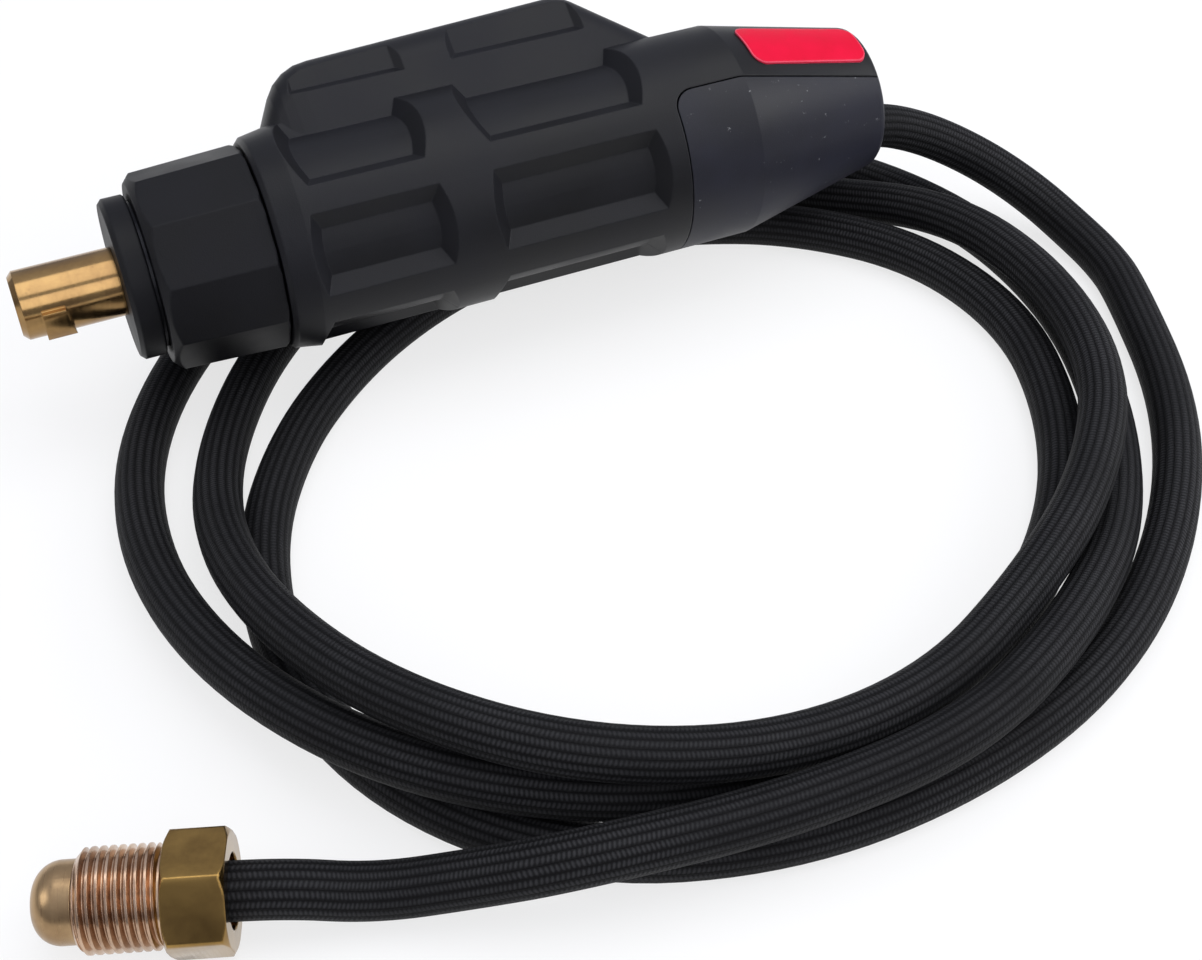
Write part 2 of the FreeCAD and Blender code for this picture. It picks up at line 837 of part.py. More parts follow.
def torch_stud():
    start = block_end - stud_grip
    stud = revolve([
        (start, 0),
        (start, stud_root_radius),
        (block_end + jam_nut_thickness + 0.4, stud_root_radius),
        (block_end + jam_nut_thickness + 0.4, stud_radius),
        (stud_end - 1.2, stud_radius),
        (stud_end, stud_radius - 1.2),
        (stud_end, 0),
    ])
    return stud.cut(rod(start - 1, stud_end + 1, gas_bore))


def stud_jam_nut():
    start = block_end + 0.05
    nut = hexagon(start, start + jam_nut_thickness, jam_nut_hex)
    return nut.cut(rod(start - 1, stud_end, stud_root_radius + 0.05))


def barb_washer():
    ring = rod(arm_end, arm_end + barb_washer_thickness, 4.4, 0, barb_height)
    hole = rod(arm_end - 1, arm_end + 2, barb_thread_radius + 0.1, 0, barb_height)
    return from_hump(ring.cut(hole))


def gas_barb():
    hex_start = arm_end + barb_washer_thickness
    hex_end = hex_start + barb_hex_length
    grip = hexagon(hex_start, hex_end, barb_hex)
    thread = rod(arm_end - barb_thread_length, hex_start, barb_thread_radius)
    spigot_end = hex_end + barb_ferrule_length - 1.0
    spigot = revolve([
        (hex_end, 0),
        (hex_end, barb_radius - 0.5),
        (hex_end + 2.0, barb_radius - 0.5),
        (hex_end + 2.0, barb_radius),
        (hex_end + 5.0, barb_radius - 0.5),
        (hex_end + 5.0, barb_radius),
        (hex_end + 8.0, barb_radius - 0.5),
        (hex_end + 8.0, barb_radius),
        (spigot_end, barb_radius - 0.6),
        (spigot_end, 0),
    ])
    barb = grip.fuse(thread).fuse(spigot)
    barb = barb.cut(rod(arm_end - 10, spigot_end + 1, gas_bore))
    barb.translate(Vector(0, 0, barb_height))
    return from_hump(barb)


def barb_ferrule():
    start = arm_end + barb_washer_thickness + barb_hex_length + 0.1
    end = hose_start_x
    ferrule = revolve([
        (start, 0),
        (start, barb_ferrule_radius - 0.3),
        (start + 0.3, barb_ferrule_radius),
        (start + 3.4, barb_ferrule_radius),
        (start + 4.4, barb_ferrule_radius - 0.5),
        (end - 3.4, barb_ferrule_radius - 0.5),
        (end - 2.4, barb_ferrule_radius),
        (end, barb_ferrule_radius),
        (end, 0),
    ])
    ferrule = ferrule.cut(rod(start - 1, end + 1, barb_radius + 0.05))
    ferrule.translate(Vector(0, 0, barb_height))
    return from_hump(ferrule)


# Hose route
def coil_points():
    """The coil's points, worked out from its rows of radius and lift."""
    points = []
    angle = coil_start_angle
    for turn in coil_turns:
        for radius, lift in turn:
            reach = radius * coil_spread
            turn_angle = math.radians(angle)
            points.append(Vector(coil_centre[0] + reach * math.cos(turn_angle),
                                 coil_centre[1] + reach * math.sin(turn_angle),
                                 hose_rest + lift))
            angle -= coil_step
    return points


def fitting_axis():
    heading = math.radians(fitting_heading)
    return Vector(math.cos(heading), math.sin(heading), 0)


def fitting_point(along):
    """A point on the end fitting's axis, measured forward from its hexagon's rear."""
    height = floor_height + gas_hex / 2
    return Vector(fitting_corner[0], fitting_corner[1], height) + fitting_axis() * along


def hose_route():
    start = hump_point(hose_start_x, barb_height)
    straight = hump_point(hose_start_x + 2 * hose_radius, barb_height)
    lead = [start, straight] + [Vector(*p) for p in lead_points]
    tail = [Vector(x, y, hose_rest + lift) for x, y, lift in tail_points]
    tail.append(fitting_point(end_ferrule_start - 2 * hose_radius))
    tail.append(fitting_point(end_ferrule_start))
    return lead + coil_points() + tail


def rounded_path(points):
    """Straight runs joined by tangent arcs, each as large as its two runs allow."""
    edges = []
    radii = []
    here = points[0]
    for before, corner, after in zip(points, points[1:], points[2:]):
        run_in = corner.sub(before)
        run_out = after.sub(corner)
        turn = run_in.getAngle(run_out)
        cut = 0.45 * min(run_in.Length, run_out.Length)
        into = Vector(run_in).normalize()
        out = Vector(run_out).normalize()
        start = corner - into * cut
        end = corner + out * cut
        radius = cut / math.tan(turn / 2)
        inward = Vector(out - into).normalize()
        middle = corner + inward * (radius / math.cos(turn / 2) - radius)
        edges.append(Part.LineSegment(here, start).toShape())
        edges.append(Part.Arc(start, middle, end).toShape())
        radii.append(radius)
        here = end
    edges.append(Part.LineSegment(here, points[-1]).toShape())
    return edges, radii


def sweep(edges):
    path = Part.Wire(edges)
    first = edges[0]
    start = first.valueAt(first.FirstParameter)
    along = first.tangentAt(first.FirstParameter)
    ring = Part.Wire(Part.makeCircle(hose_radius, start, along))
    shell = Part.BRepOffsetAPI.MakePipeShell(path)
    shell.add(ring)
    shell.build()
    shell.makeSolid()
    solid = Part.Solid(shell.shape())
    expected = math.pi * hose_radius ** 2 * path.Length
    print("hose run %7.1f mm, volume over section times length %.4f" % (path.Length, solid.Volume / expected))
    return solid


def least_gap(edges):
    """The smallest gap between stretches of the hose that are not neighbours."""
    samples = []
    travelled = 0.0
    for edge in edges:
        count = max(2, int(edge.Length / 1.5))
        for point in edge.discretize(count)[:-1]:
            samples.append((travelled + point.sub(edge.valueAt(edge.FirstParameter)).Length, point))
        travelled += edge.Length
    apart = 8 * hose_radius
    least = (1e9, None, None)
    for i, (s, p) in enumerate(samples):
        for t, q in samples[i + 1:]:
            if t - s > apart:
                gap = p.distanceToPoint(q) - 2 * hose_radius
                if gap < least[0]:
                    least = (gap, p, q)
    return least


def hose_pieces():
    points = hose_route()
    edges, radii = rounded_path(points)
    print("hose bend radii, mm: " + " ".join("%.0f" % r for r in radii))
    print("hose length %.0f mm" % sum(e.Length for e in edges))
    gap, p, q = least_gap(edges)
    print("least gap of the hose to itself %.2f mm near %.0f,%.0f and %.0f,%.0f" % (gap, p.x, p.y, q.x, q.y))
    lead_end = 2 * (len(lead_points) + 2)
    tail_start = 2 * (len(lead_points) + 1 + sum(len(turn) for turn in coil_turns)) + 1
    size = 8 * coil_centre[0]
    below = Part.makeBox(size, size, size, Vector(-size / 2, -size / 2, floor_height - size))
    runs = [edges[:lead_end + 1], edges[lead_end + 1:tail_start], edges[tail_start:]]
    return [sweep(run).cut(below) for run in runs]


# End fitting, built along +X from the hexagon's rear and then laid on the floor
def lay_fitting(shape):
    laid = shape.copy()
    laid.rotate(Vector(0, 0, 0), Vector(0, 0, 1), fitting_heading)
    laid.translate(fitting_point(0.0))
    return laid


def gas_nut():
    ring_end = gas_hex_length + gas_ring_length
    front = ring_end + gas_thread_length
    hexagon_part = hexagon(0, gas_hex_length, gas_hex, 0.0)
    corner = gas_hex / math.cos(math.pi / 6) / 2
    envelope = revolve([
        (0, 0),
        (0, corner - 1.2),
        (0.8, corner + 0.1),
        (gas_hex_length - 0.8, corner + 0.1),
        (gas_hex_length, corner - 1.2),
        (gas_hex_length, 0),
    ])
    thread = revolve([
        (gas_hex_length - 1, 0),
        (gas_hex_length - 1, gas_ring_radius),
        (ring_end, gas_ring_radius),
        (ring_end, gas_thread_radius),
        (front - gas_thread_chamfer, gas_thread_radius),
        (front, gas_thread_radius - gas_thread_chamfer),
        (front, 0),
    ])
    nut = hexagon_part.common(envelope).fuse(thread)
    return lay_fitting(nut.cut(rod(-1, front + 1, gas_nut_bore)))


def ball_nipple():
    """The seat nipple: a round nose ahead of the nut and a stem through it."""
    seat = gas_hex_length + gas_ring_length + gas_thread_length + nipple_seat_gap
    stem_end = end_ferrule_start + end_ferrule_length + 0.1
    nose_start = seat + nipple_shoulder
    tip = seat + nipple_nose
    edges = []
    outline = [
        (end_ferrule_start + 1.0, gas_bore),
        (end_ferrule_start + 1.0, barb_radius - 0.3),
        (stem_end, barb_radius - 0.1),
        (stem_end, nipple_stem_radius),
        (seat, nipple_stem_radius),
        (seat, nipple_radius),
        (nose_start, nipple_radius),
    ]
    for a, b in zip(outline, outline[1:]):
        edges.append(line(a, b, 0))
    reach = tip - nose_start
    middle_x = nose_start + reach * 0.62
    middle_r = nipple_radius * 0.86
    edges.append(arc(outline[-1], (middle_x, middle_r), (tip, gas_bore + 0.9), 0))
    edges.append(line((tip, gas_bore + 0.9), (tip, gas_bore), 0))
    edges.append(line((tip, gas_bore), outline[0], 0))
    face = Part.Face(Part.Wire(edges))
    return lay_fitting(face.revolve(Vector(0, 0, 0), Vector(1, 0, 0), 360))


def end_ferrule():
    start = end_ferrule_start
    end = start + end_ferrule_length
    ferrule = revolve([
        (start, 0),
        (start, end_ferrule_radius - 0.3),
        (start + 0.3, end_ferrule_radius),
        (end, end_ferrule_radius),
        (end, 0),
    ])
    return lay_fitting(ferrule.cut(rod(start - 1, end + 1, barb_radius + 0.05)))


def main():
    os.makedirs("parts", exist_ok=True)
    save("contact_plug", contact_plug())
    save("pressure_flange", pressure_flange())
    save("thrust_washer", thrust_washer())
    save("retaining_ring", retaining_ring())
    save("locking_nut", locking_nut())
    near, far, cover = housing()
    save("near_shell", near)
    save("far_shell", far)
    save("rear_cover", cover)
    save("housing_screws", *side_screws())
    save("cover_screws", *cover_screws())
    save("label_plate", label_plate())
    save("lock_washer", lock_washer())
    save("power_block", power_block())
    save("passage_plug", passage_plug())
    save("torch_stud", torch_stud())
    save("stud_jam_nut", stud_jam_nut())
    save("barb_washer", barb_washer())
    save("gas_barb", gas_barb())
    save("barb_ferrule", barb_ferrule())
    lead, coil, tail = hose_pieces()
    save("gas_hose_lead", lead)
    save("gas_hose_coil", coil)
    save("gas_hose_tail", tail)
    save("end_ferrule", end_ferrule())
    save("ball_nipple", ball_nipple())
    save("gas_nut", gas_nut())


main()
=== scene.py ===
import math

import bmesh
import bpy
from mathutils import Matrix, Vector


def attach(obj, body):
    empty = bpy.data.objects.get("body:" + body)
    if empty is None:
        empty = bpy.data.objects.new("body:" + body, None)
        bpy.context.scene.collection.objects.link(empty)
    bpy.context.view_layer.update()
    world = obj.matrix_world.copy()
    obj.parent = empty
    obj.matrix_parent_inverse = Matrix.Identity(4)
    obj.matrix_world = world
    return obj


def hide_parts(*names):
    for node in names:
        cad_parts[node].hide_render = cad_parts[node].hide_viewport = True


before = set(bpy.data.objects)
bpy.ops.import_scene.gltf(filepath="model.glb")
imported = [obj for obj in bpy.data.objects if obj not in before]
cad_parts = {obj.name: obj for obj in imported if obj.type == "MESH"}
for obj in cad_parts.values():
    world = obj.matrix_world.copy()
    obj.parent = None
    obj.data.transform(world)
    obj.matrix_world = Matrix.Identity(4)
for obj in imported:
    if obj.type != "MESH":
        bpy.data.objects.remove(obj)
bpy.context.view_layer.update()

# Metres. The plug's axis is X, the surface the part lies on is level, and -Y is the near side.
floorHeight = -0.0301
weld = 1e-6                      # corners closer than this become one
spare = 0.001                    # how far a cutting shape runs past what it cuts
sharpAngle = math.radians(28)    # steeper edges stay crisp on smoothly shaded shapes


def addObject(name, data):
    item = bpy.data.objects.new(name, data)
    bpy.context.scene.collection.objects.link(item)
    return item


def turnAbout(axis, degrees, size=3):
    return Matrix.Rotation(math.radians(degrees), size, axis)


def meshFrom(form, name):
    mesh = bpy.data.meshes.new(name)
    form.to_mesh(mesh)
    form.free()
    return mesh


# Small helpers that lay out a material's nodes
def joinNodes(tree, start, end):
    tree.links.new(start, end)


def mathNode(tree, operation, first, second=None):
    node = tree.nodes.new("ShaderNodeMath")
    node.operation = operation
    for socket, value in zip(node.inputs, (first, second)):
        if value is None:
            continue
        if isinstance(value, (int, float)):
            socket.default_value = value
        else:
            joinNodes(tree, value, socket)
    return node.outputs[0]


def rampFrom(tree, value, colors, stops=(0.3, 0.7)):
    ramp = tree.nodes.new("ShaderNodeValToRGB")
    while len(ramp.color_ramp.elements) < len(stops):
        ramp.color_ramp.elements.new(0.5)
    for element, place, color in zip(ramp.color_ramp.elements, stops, colors):
        element.position = place
        element.color = (*color, 1)
    joinNodes(tree, value, ramp.inputs["Fac"])
    return ramp.outputs["Color"]


def grayRamp(tree, value, shades, stops=(0.3, 0.7)):
    return rampFrom(tree, value, [(shade,) * 3 for shade in shades], stops)


def mixColor(tree, share, first, second):
    mix = tree.nodes.new("ShaderNodeMix")
    mix.data_type = "RGBA"
    joinNodes(tree, share, mix.inputs[0])
    for socket, value in zip((mix.inputs[6], mix.inputs[7]), (first, second)):
        if isinstance(value, tuple):
            socket.default_value = (*value, 1)
        else:
            joinNodes(tree, value, socket)
    return mix.outputs[2]


def placeFrom(tree, stretch=(1, 1, 1), turn=(0, 0, 0)):
    coordinates = tree.nodes.new("ShaderNodeTexCoord")
    straight = tree.nodes.new("ShaderNodeMapping")
    straight.inputs["Rotation"].default_value = turn
    mapping = tree.nodes.new("ShaderNodeMapping")
    mapping.inputs["Scale"].default_value = stretch
    joinNodes(tree, coordinates.outputs["Object"], straight.inputs["Vector"])
    joinNodes(tree, straight.outputs["Vector"], mapping.inputs["Vector"])
    return mapping.outputs["Vector"]


def noiseFrom(tree, vector, scale, detail=3.0, rough=0.5):
    noise = tree.nodes.new("ShaderNodeTexNoise")
    noise.inputs["Scale"].default_value = scale
    noise.inputs["Detail"].default_value = detail
    noise.inputs["Roughness"].default_value = rough
    joinNodes(tree, vector, noise.inputs["Vector"])
    return noise.outputs["Fac"]


def bumpFrom(tree, surface, height, distance, strength, normal=None):
    bump = tree.nodes.new("ShaderNodeBump")
    bump.inputs["Distance"].default_value = distance
    bump.inputs["Strength"].default_value = strength
    joinNodes(tree, height, bump.inputs["Height"])
    if normal is not None:
        joinNodes(tree, normal, bump.inputs["Normal"])
    joinNodes(tree, bump.outputs["Normal"], surface.inputs["Normal"])


# The surface's direction with its edges rounded off by a radius
def softEdge(tree, radius):
    edge = tree.nodes.new("ShaderNodeBevel")
    edge.samples = 6
    edge.inputs["Radius"].default_value = radius
    return edge.outputs["Normal"]


# White along the edges, where the rounded normal leaves the flat one
def edgeShare(tree, rounded, stops):
    flat = tree.nodes.new("ShaderNodeNewGeometry")
    alike = tree.nodes.new("ShaderNodeVectorMath")
    alike.operation = "DOT_PRODUCT"
    joinNodes(tree, rounded, alike.inputs[0])
    joinNodes(tree, flat.outputs["Normal"], alike.inputs[1])
    away = mathNode(tree, "SUBTRACT", 1.0, alike.outputs["Value"])
    return grayRamp(tree, away, (0.0, 1.0), stops)


def newMaterial(name, color, roughness, metallic=0.0):
    material = bpy.data.materials.new(name)
    material.use_nodes = True
    surface = material.node_tree.nodes["Principled BSDF"]
    surface.inputs["Base Color"].default_value = (*color, 1)
    surface.inputs["Roughness"].default_value = roughness[0]
    surface.inputs["Metallic"].default_value = metallic
    return material, material.node_tree, surface


def colorAndRoughness(tree, surface, color, value, roughness):
    joinNodes(tree, color, surface.inputs["Base Color"])
    joinNodes(tree, grayRamp(tree, value, roughness), surface.inputs["Roughness"])


print("stage: camera, light and floor")

# A look down at the near side, in millimetres for the lens, metres and degrees
view = {
    "lens": 55.0,
    "sensor": 36.0,
    "nearest": 0.01,
    "place": (-0.01924, -0.28110, 0.21524),
    "tilt": 44.833,
    "turn": -22.374,
    "roll": -0.503,
}


def makeCamera():
    camera = addObject("camera", bpy.data.cameras.new("camera"))
    camera.data.lens = view["lens"]
    camera.data.sensor_width = view["sensor"]
    camera.data.clip_start = view["nearest"]
    camera.location = view["place"]
    aim = turnAbout("Z", view["turn"]) @ turnAbout("X", view["tilt"]) @ turnAbout("Z", view["roll"])
    camera.rotation_euler = aim.to_euler()
    bpy.context.scene.camera = camera


makeCamera()
bpy.context.scene.view_settings.view_transform = "Standard"

lampAim = (0.08, -0.04, 0.0)
lamps = {
    "overhead": {"place": (0.25, 0.00, 0.85), "size": 0.80, "power": 3.6},
    "left": {"place": (-0.65, 0.00, 0.45), "size": 0.40, "power": 0.9},
    "right": {"place": (0.75, -0.25, 0.42), "size": 0.45, "power": 2.4},
    "front": {"place": (0.10, -0.75, 0.55), "size": 0.50, "power": 1.6},
}


def makeLamp(name, look):
    light = bpy.data.lights.new(name, "AREA")
    light.size = look["size"]
    light.energy = look["power"]
    lamp = addObject(name, light)
    lamp.location = look["place"]
    toward = Vector(lampAim) - Vector(look["place"])
    lamp.rotation_euler = toward.to_track_quat("-Z", "Y").to_euler()


for name, look in lamps.items():
    makeLamp(name, look)

# Soft cool light from above, dimmer towards the horizon
studio = {
    "dim": (0.16, 0.16, 0.18),
    "bright": (0.70, 0.73, 0.84),
    "brightFrom": 0.75,
    "toward": (0.12, 0.08, 0.60),
    "middle": 0.15,
    "strength": 1.0,
}


def makeWorld():
    world = bpy.data.worlds.new("studio")
    bpy.context.scene.world = world
    world.use_nodes = True
    tree = world.node_tree
    tree.nodes.clear()
    direction = tree.nodes.new("ShaderNodeTexCoord")
    facing = tree.nodes.new("ShaderNodeVectorMath")
    facing.operation = "DOT_PRODUCT"
    facing.inputs[1].default_value = studio["toward"]
    soft = tree.nodes.new("ShaderNodeBackground")
    soft.inputs["Strength"].default_value = studio["strength"]
    out = tree.nodes.new("ShaderNodeOutputWorld")
    joinNodes(tree, direction.outputs["Generated"], facing.inputs[0])
    level = mathNode(tree, "ADD", facing.outputs["Value"], studio["middle"])
    color = rampFrom(tree, level, (studio["dim"], studio["bright"]), (0.0, studio["brightFrom"]))
    joinNodes(tree, color, soft.inputs["Color"])
    joinNodes(tree, soft.outputs[0], out.inputs["Surface"])


makeWorld()

floorLook = {
    "reach": 40.0,
    "color": (0.90, 0.90, 0.90),
    "glow": 0.74,    # how much plain white the camera and shiny surfaces see in it
}


def makeFloor():
    form = bmesh.new()
    bmesh.ops.create_grid(form, x_segments=1, y_segments=1, size=floorLook["reach"])
    bmesh.ops.translate(form, verts=form.verts, vec=(0, 0, floorHeight))
    floor = addObject("floor", meshFrom(form, "floor"))
    material = bpy.data.materials.new("paleFloor")
    material.use_nodes = True
    tree = material.node_tree
    tree.nodes.clear()
    matte = tree.nodes.new("ShaderNodeBsdfDiffuse")
    matte.inputs["Color"].default_value = (*floorLook["color"], 1)
    glow = tree.nodes.new("ShaderNodeEmission")
    glow.inputs["Color"].default_value = (1, 1, 1, 1)
    ray = tree.nodes.new("ShaderNodeLightPath")
    seen = ray.outputs["Is Camera Ray"]
    for kind in ("Is Glossy Ray", "Is Transmission Ray"):
        seen = mathNode(tree, "MAXIMUM", seen, ray.outputs[kind])
    mix = tree.nodes.new("ShaderNodeMixShader")
    out = tree.nodes.new("ShaderNodeOutputMaterial")
    joinNodes(tree, mathNode(tree, "MULTIPLY", seen, floorLook["glow"]), mix.inputs[0])
    joinNodes(tree, matte.outputs[0], mix.inputs[1])
    joinNodes(tree, glow.outputs[0], mix.inputs[2])
    joinNodes(tree, mix.outputs[0], out.inputs["Surface"])
    floor.data.materials.append(material)


makeFloor()

print("stage: materials")

# Each edge tone is partly rubbed wear, partly a painted highlight on the rims.
# The bluish cast of these tones, strongest in each lighter tone and most of all on the cover, is a painted
# bluish sheen over the plastic's own near-black.
plasticLooks = {
    "housing": {
        "dark": (0.0036, 0.0036, 0.0044),
        "light": (0.0062, 0.0063, 0.0090),
        "edgeWearAndHighlight": (0.022, 0.022, 0.025),
        "scuff": (0.14, 0.14, 0.15),
        "speckled": 0.735,    # higher leaves fewer scuffs
        "grain": 4200.0,
        "blotch": 45.0,
        "edge": 0.00045,
        "roughness": (0.38, 0.54),
        "specular": 0.225,
    },
    # The cover's stronger blue is a painted bluish sheen.
    "cover": {
        "dark": (0.0050, 0.0052, 0.0090),
        "light": (0.0100, 0.0105, 0.0210),
        "edgeWearAndHighlight": (0.034, 0.034, 0.042),
        "scuff": (0.26, 0.26, 0.27),
        "speckled": 0.665,
        "grain": 4200.0,
        "blotch": 45.0,
        "edge": 0.0004,
        "roughness": (0.40, 0.58),
        "specular": 0.30,
    },
    "nut": {
        "dark": (0.0036, 0.0036, 0.0044),
        "light": (0.0058, 0.0058, 0.0078),
        "edgeWearAndHighlight": (0.020, 0.020, 0.023),
        "scuff": (0.12, 0.12, 0.13),
        "speckled": 0.745,
        "grain": 3400.0,
        "blotch": 60.0,
        "edge": 0.0006,
        "roughness": (0.42, 0.56),
        "specular": 0.17,
    },
}
# How all of it is blotched, lightened along its edges (partly rubbed wear, partly a painted highlight on the
# rims), scuffed and grained
plasticWear = {
    "blotchStops": (0.35, 0.68),
    "edgeStops": (0.01, 0.16),
    "edgePatch": 380.0,
    "edgePatchShades": (0.15, 0.85),
    "edgePatchStops": (0.42, 0.66),
    "speck": 620.0,
    "speckShades": (0.0, 0.8),
    "speckFade": 0.05,
    "grainDepth": 0.00005,
    "grainStrength": 0.45,
}


def plasticMaterial(name, look):
    wear = plasticWear
    material, tree, surface = newMaterial(name, look["light"], look["roughness"])
    surface.inputs["Specular IOR Level"].default_value = look["specular"]
    place = placeFrom(tree)
    rounded = softEdge(tree, look["edge"])
    blotch = noiseFrom(tree, place, look["blotch"], detail=4.0)
    # Random blotches from the dark tone to the lighter one, whose bluish cast is a painted sheen
    color = rampFrom(tree, blotch, (look["dark"], look["light"]), wear["blotchStops"])
    edgePatch = noiseFrom(tree, place, wear["edgePatch"], detail=4.0, rough=0.65)
    edgeWearAndHighlight = grayRamp(tree, edgePatch, wear["edgePatchShades"], wear["edgePatchStops"])
    edges = edgeShare(tree, rounded, wear["edgeStops"])
    # Lighter in patches along the edges: partly rubbed wear, partly a painted highlight on the rims
    color = mixColor(tree, mathNode(tree, "MULTIPLY", edges, edgeWearAndHighlight), color, look["edgeWearAndHighlight"])
    speck = noiseFrom(tree, place, wear["speck"], detail=5.0, rough=0.72)
    speckStops = (look["speckled"], look["speckled"] + wear["speckFade"])
    color = mixColor(tree, grayRamp(tree, speck, wear["speckShades"], speckStops), color, look["scuff"])
    colorAndRoughness(tree, surface, color, blotch, look["roughness"])
    grain = noiseFrom(tree, place, look["grain"], detail=2.0)
    bumpFrom(tree, surface, grain, wear["grainDepth"], wear["grainStrength"], rounded)
    return material


housingPlastic = plasticMaterial("housingPlastic", plasticLooks["housing"])
coverPlastic = plasticMaterial("coverPlastic", plasticLooks["cover"])
nutPlastic = plasticMaterial("nutPlastic", plasticLooks["nut"])

fittingHeading = 161.6    # degrees about Z; the hose's end fitting points this way
brassLooks = {
    "plug": {
        "pale": (0.36, 0.225, 0.092),
        "deep": (0.27, 0.160, 0.068),
        "stain": (0.12, 0.065, 0.035),
        "roughness": (0.13, 0.20),
        "turn": 0.0,
        "edge": 0.0002,
        "lines": 0.25,
    },
    # The hexagon's olive-gold brass is darker than the thread of the same nut: a painted dark reflection of
    # the surroundings
    "hexagon": {
        "pale": (0.34, 0.210, 0.066),
        "deep": (0.23, 0.138, 0.045),
        "stain": (0.09, 0.050, 0.030),
        "roughness": (0.12, 0.20),
        "turn": -fittingHeading,
        "edge": 0.0005,
        "lines": 0.35,
    },
    "thread": {
        "pale": (0.60, 0.425, 0.30),
        "deep": (0.38, 0.25, 0.17),
        "stain": (0.14, 0.085, 0.06),
        "roughness": (0.16, 0.26),
        "turn": -fittingHeading,
        "edge": 0.0001,
        "lines": 0.3,
    },
    "nose": {
        "pale": (0.43, 0.290, 0.155),
        "deep": (0.31, 0.200, 0.105),
        "stain": (0.15, 0.095, 0.060),
        "roughness": (0.26, 0.36),
        "turn": -fittingHeading,
        "edge": 0.0002,
        "lines": 0.3,
    },
    "inside": {
        "pale": (0.72, 0.55, 0.30),
        "deep": (0.52, 0.38, 0.18),
        "stain": (0.20, 0.14, 0.08),
        "roughness": (0.22, 0.36),
        "turn": 0.0,
        "edge": 0.0003,
        "lines": 0.4,
    },
}
brassWear = {
    "lineStretch": (2600.0, 60.0, 60.0),
    "lineDepth": 0.000012,
    "cloud": 140.0,
    "cloudStops": (0.34, 0.60),
    "spot": 700.0,
    "spotShades": (0.0, 0.7),
    "spotStops": (0.66, 0.78),
}


# Fine turned lines run round the axis, with clouds of tarnish and a few darker spots
def brassMaterial(name, look):
    wear = brassWear
    material, tree, surface = newMaterial(name, look["pale"], look["roughness"], metallic=1.0)
    turn = (0, 0, math.radians(look["turn"]))
    place = placeFrom(tree, turn=turn)
    rounded = softEdge(tree, look["edge"])
    lines = noiseFrom(tree, placeFrom(tree, wear["lineStretch"], turn), 1.0, detail=3.0, rough=0.6)
    cloud = noiseFrom(tree, place, wear["cloud"], detail=5.0, rough=0.6)
    color = rampFrom(tree, cloud, (look["deep"], look["pale"]), wear["cloudStops"])
    spot = noiseFrom(tree, place, wear["spot"], detail=4.0, rough=0.7)
    color = mixColor(tree, grayRamp(tree, spot, wear["spotShades"], wear["spotStops"]), color, look["stain"])
    colorAndRoughness(tree, surface, color, lines, look["roughness"])
    bumpFrom(tree, surface, lines, wear["lineDepth"], look["lines"], rounded)
    return material


plugBrass = brassMaterial("plugBrass", brassLooks["plug"])
hexagonBrassPaintedDark = brassMaterial("hexagonBrassPaintedDark", brassLooks["hexagon"])
threadBrass = brassMaterial("threadBrass", brassLooks["thread"])
noseBrass = brassMaterial("noseBrass", brassLooks["nose"])
insideBrass = brassMaterial("insideBrass", brassLooks["inside"])

steelLooks = {
    "zinc": {"pale": (0.60, 0.60, 0.61), "deep": (0.40, 0.40, 0.43), "roughness": (0.24, 0.42)},
    "blackened": {"pale": (0.045, 0.045, 0.050), "deep": (0.020, 0.020, 0.024), "roughness": (0.34, 0.52)},
}
steelWear = {
    "cloud": 420.0,
    "grain": 3000.0,
    "grainDepth": 0.00001,
    "grainStrength": 0.5,
    "edge": 0.00015,
}


def steelMaterial(name, look):
    wear = steelWear
    material, tree, surface = newMaterial(name, look["pale"], look["roughness"], metallic=1.0)
    place = placeFrom(tree)
    cloud = noiseFrom(tree, place, wear["cloud"], detail=4.0)
    color = rampFrom(tree, cloud, (look["deep"], look["pale"]))
    colorAndRoughness(tree, surface, color, cloud, look["roughness"])
    grain = noiseFrom(tree, place, wear["grain"])
    bumpFrom(tree, surface, grain, wear["grainDepth"], wear["grainStrength"], softEdge(tree, wear["edge"]))
    return material


zincSteel = steelMaterial("zincSteel", steelLooks["zinc"])
blackSteel = steelMaterial("blackSteel", steelLooks["blackened"])

labelLook = {
    "deep": (0.62, 0.0012, 0.026),
    "pale": (0.70, 0.0020, 0.036),
    # The paler pink rim is a painted highlight along the label's rounded edge
    "rim": (0.84, 0.130, 0.200),
    "rimHighlightStops": (0.003, 0.08),
    "cloud": 200.0,
    "grain": 2600.0,
    "grainDepth": 0.00002,
    "grainStrength": 0.4,
    "edge": 0.0006,
    "roughness": (0.36, 0.50),
    "specular": 0.1,
}


def labelMaterial(look):
    material, tree, surface = newMaterial("labelRed", look["pale"], look["roughness"])
    surface.inputs["Specular IOR Level"].default_value = look["specular"]
    place = placeFrom(tree)
    rounded = softEdge(tree, look["edge"])
    cloud = noiseFrom(tree, place, look["cloud"], detail=4.0)
    color = rampFrom(tree, cloud, (look["deep"], look["pale"]))
    # Paler pink along the edges: a painted highlight on the rim
    color = mixColor(tree, edgeShare(tree, rounded, look["rimHighlightStops"]), color, look["rim"])
    colorAndRoughness(tree, surface, color, cloud, look["roughness"])
    grain = noiseFrom(tree, place, look["grain"])
    bumpFrom(tree, surface, grain, look["grainDepth"], look["grainStrength"], rounded)
    return material


labelRed = labelMaterial(labelLook)

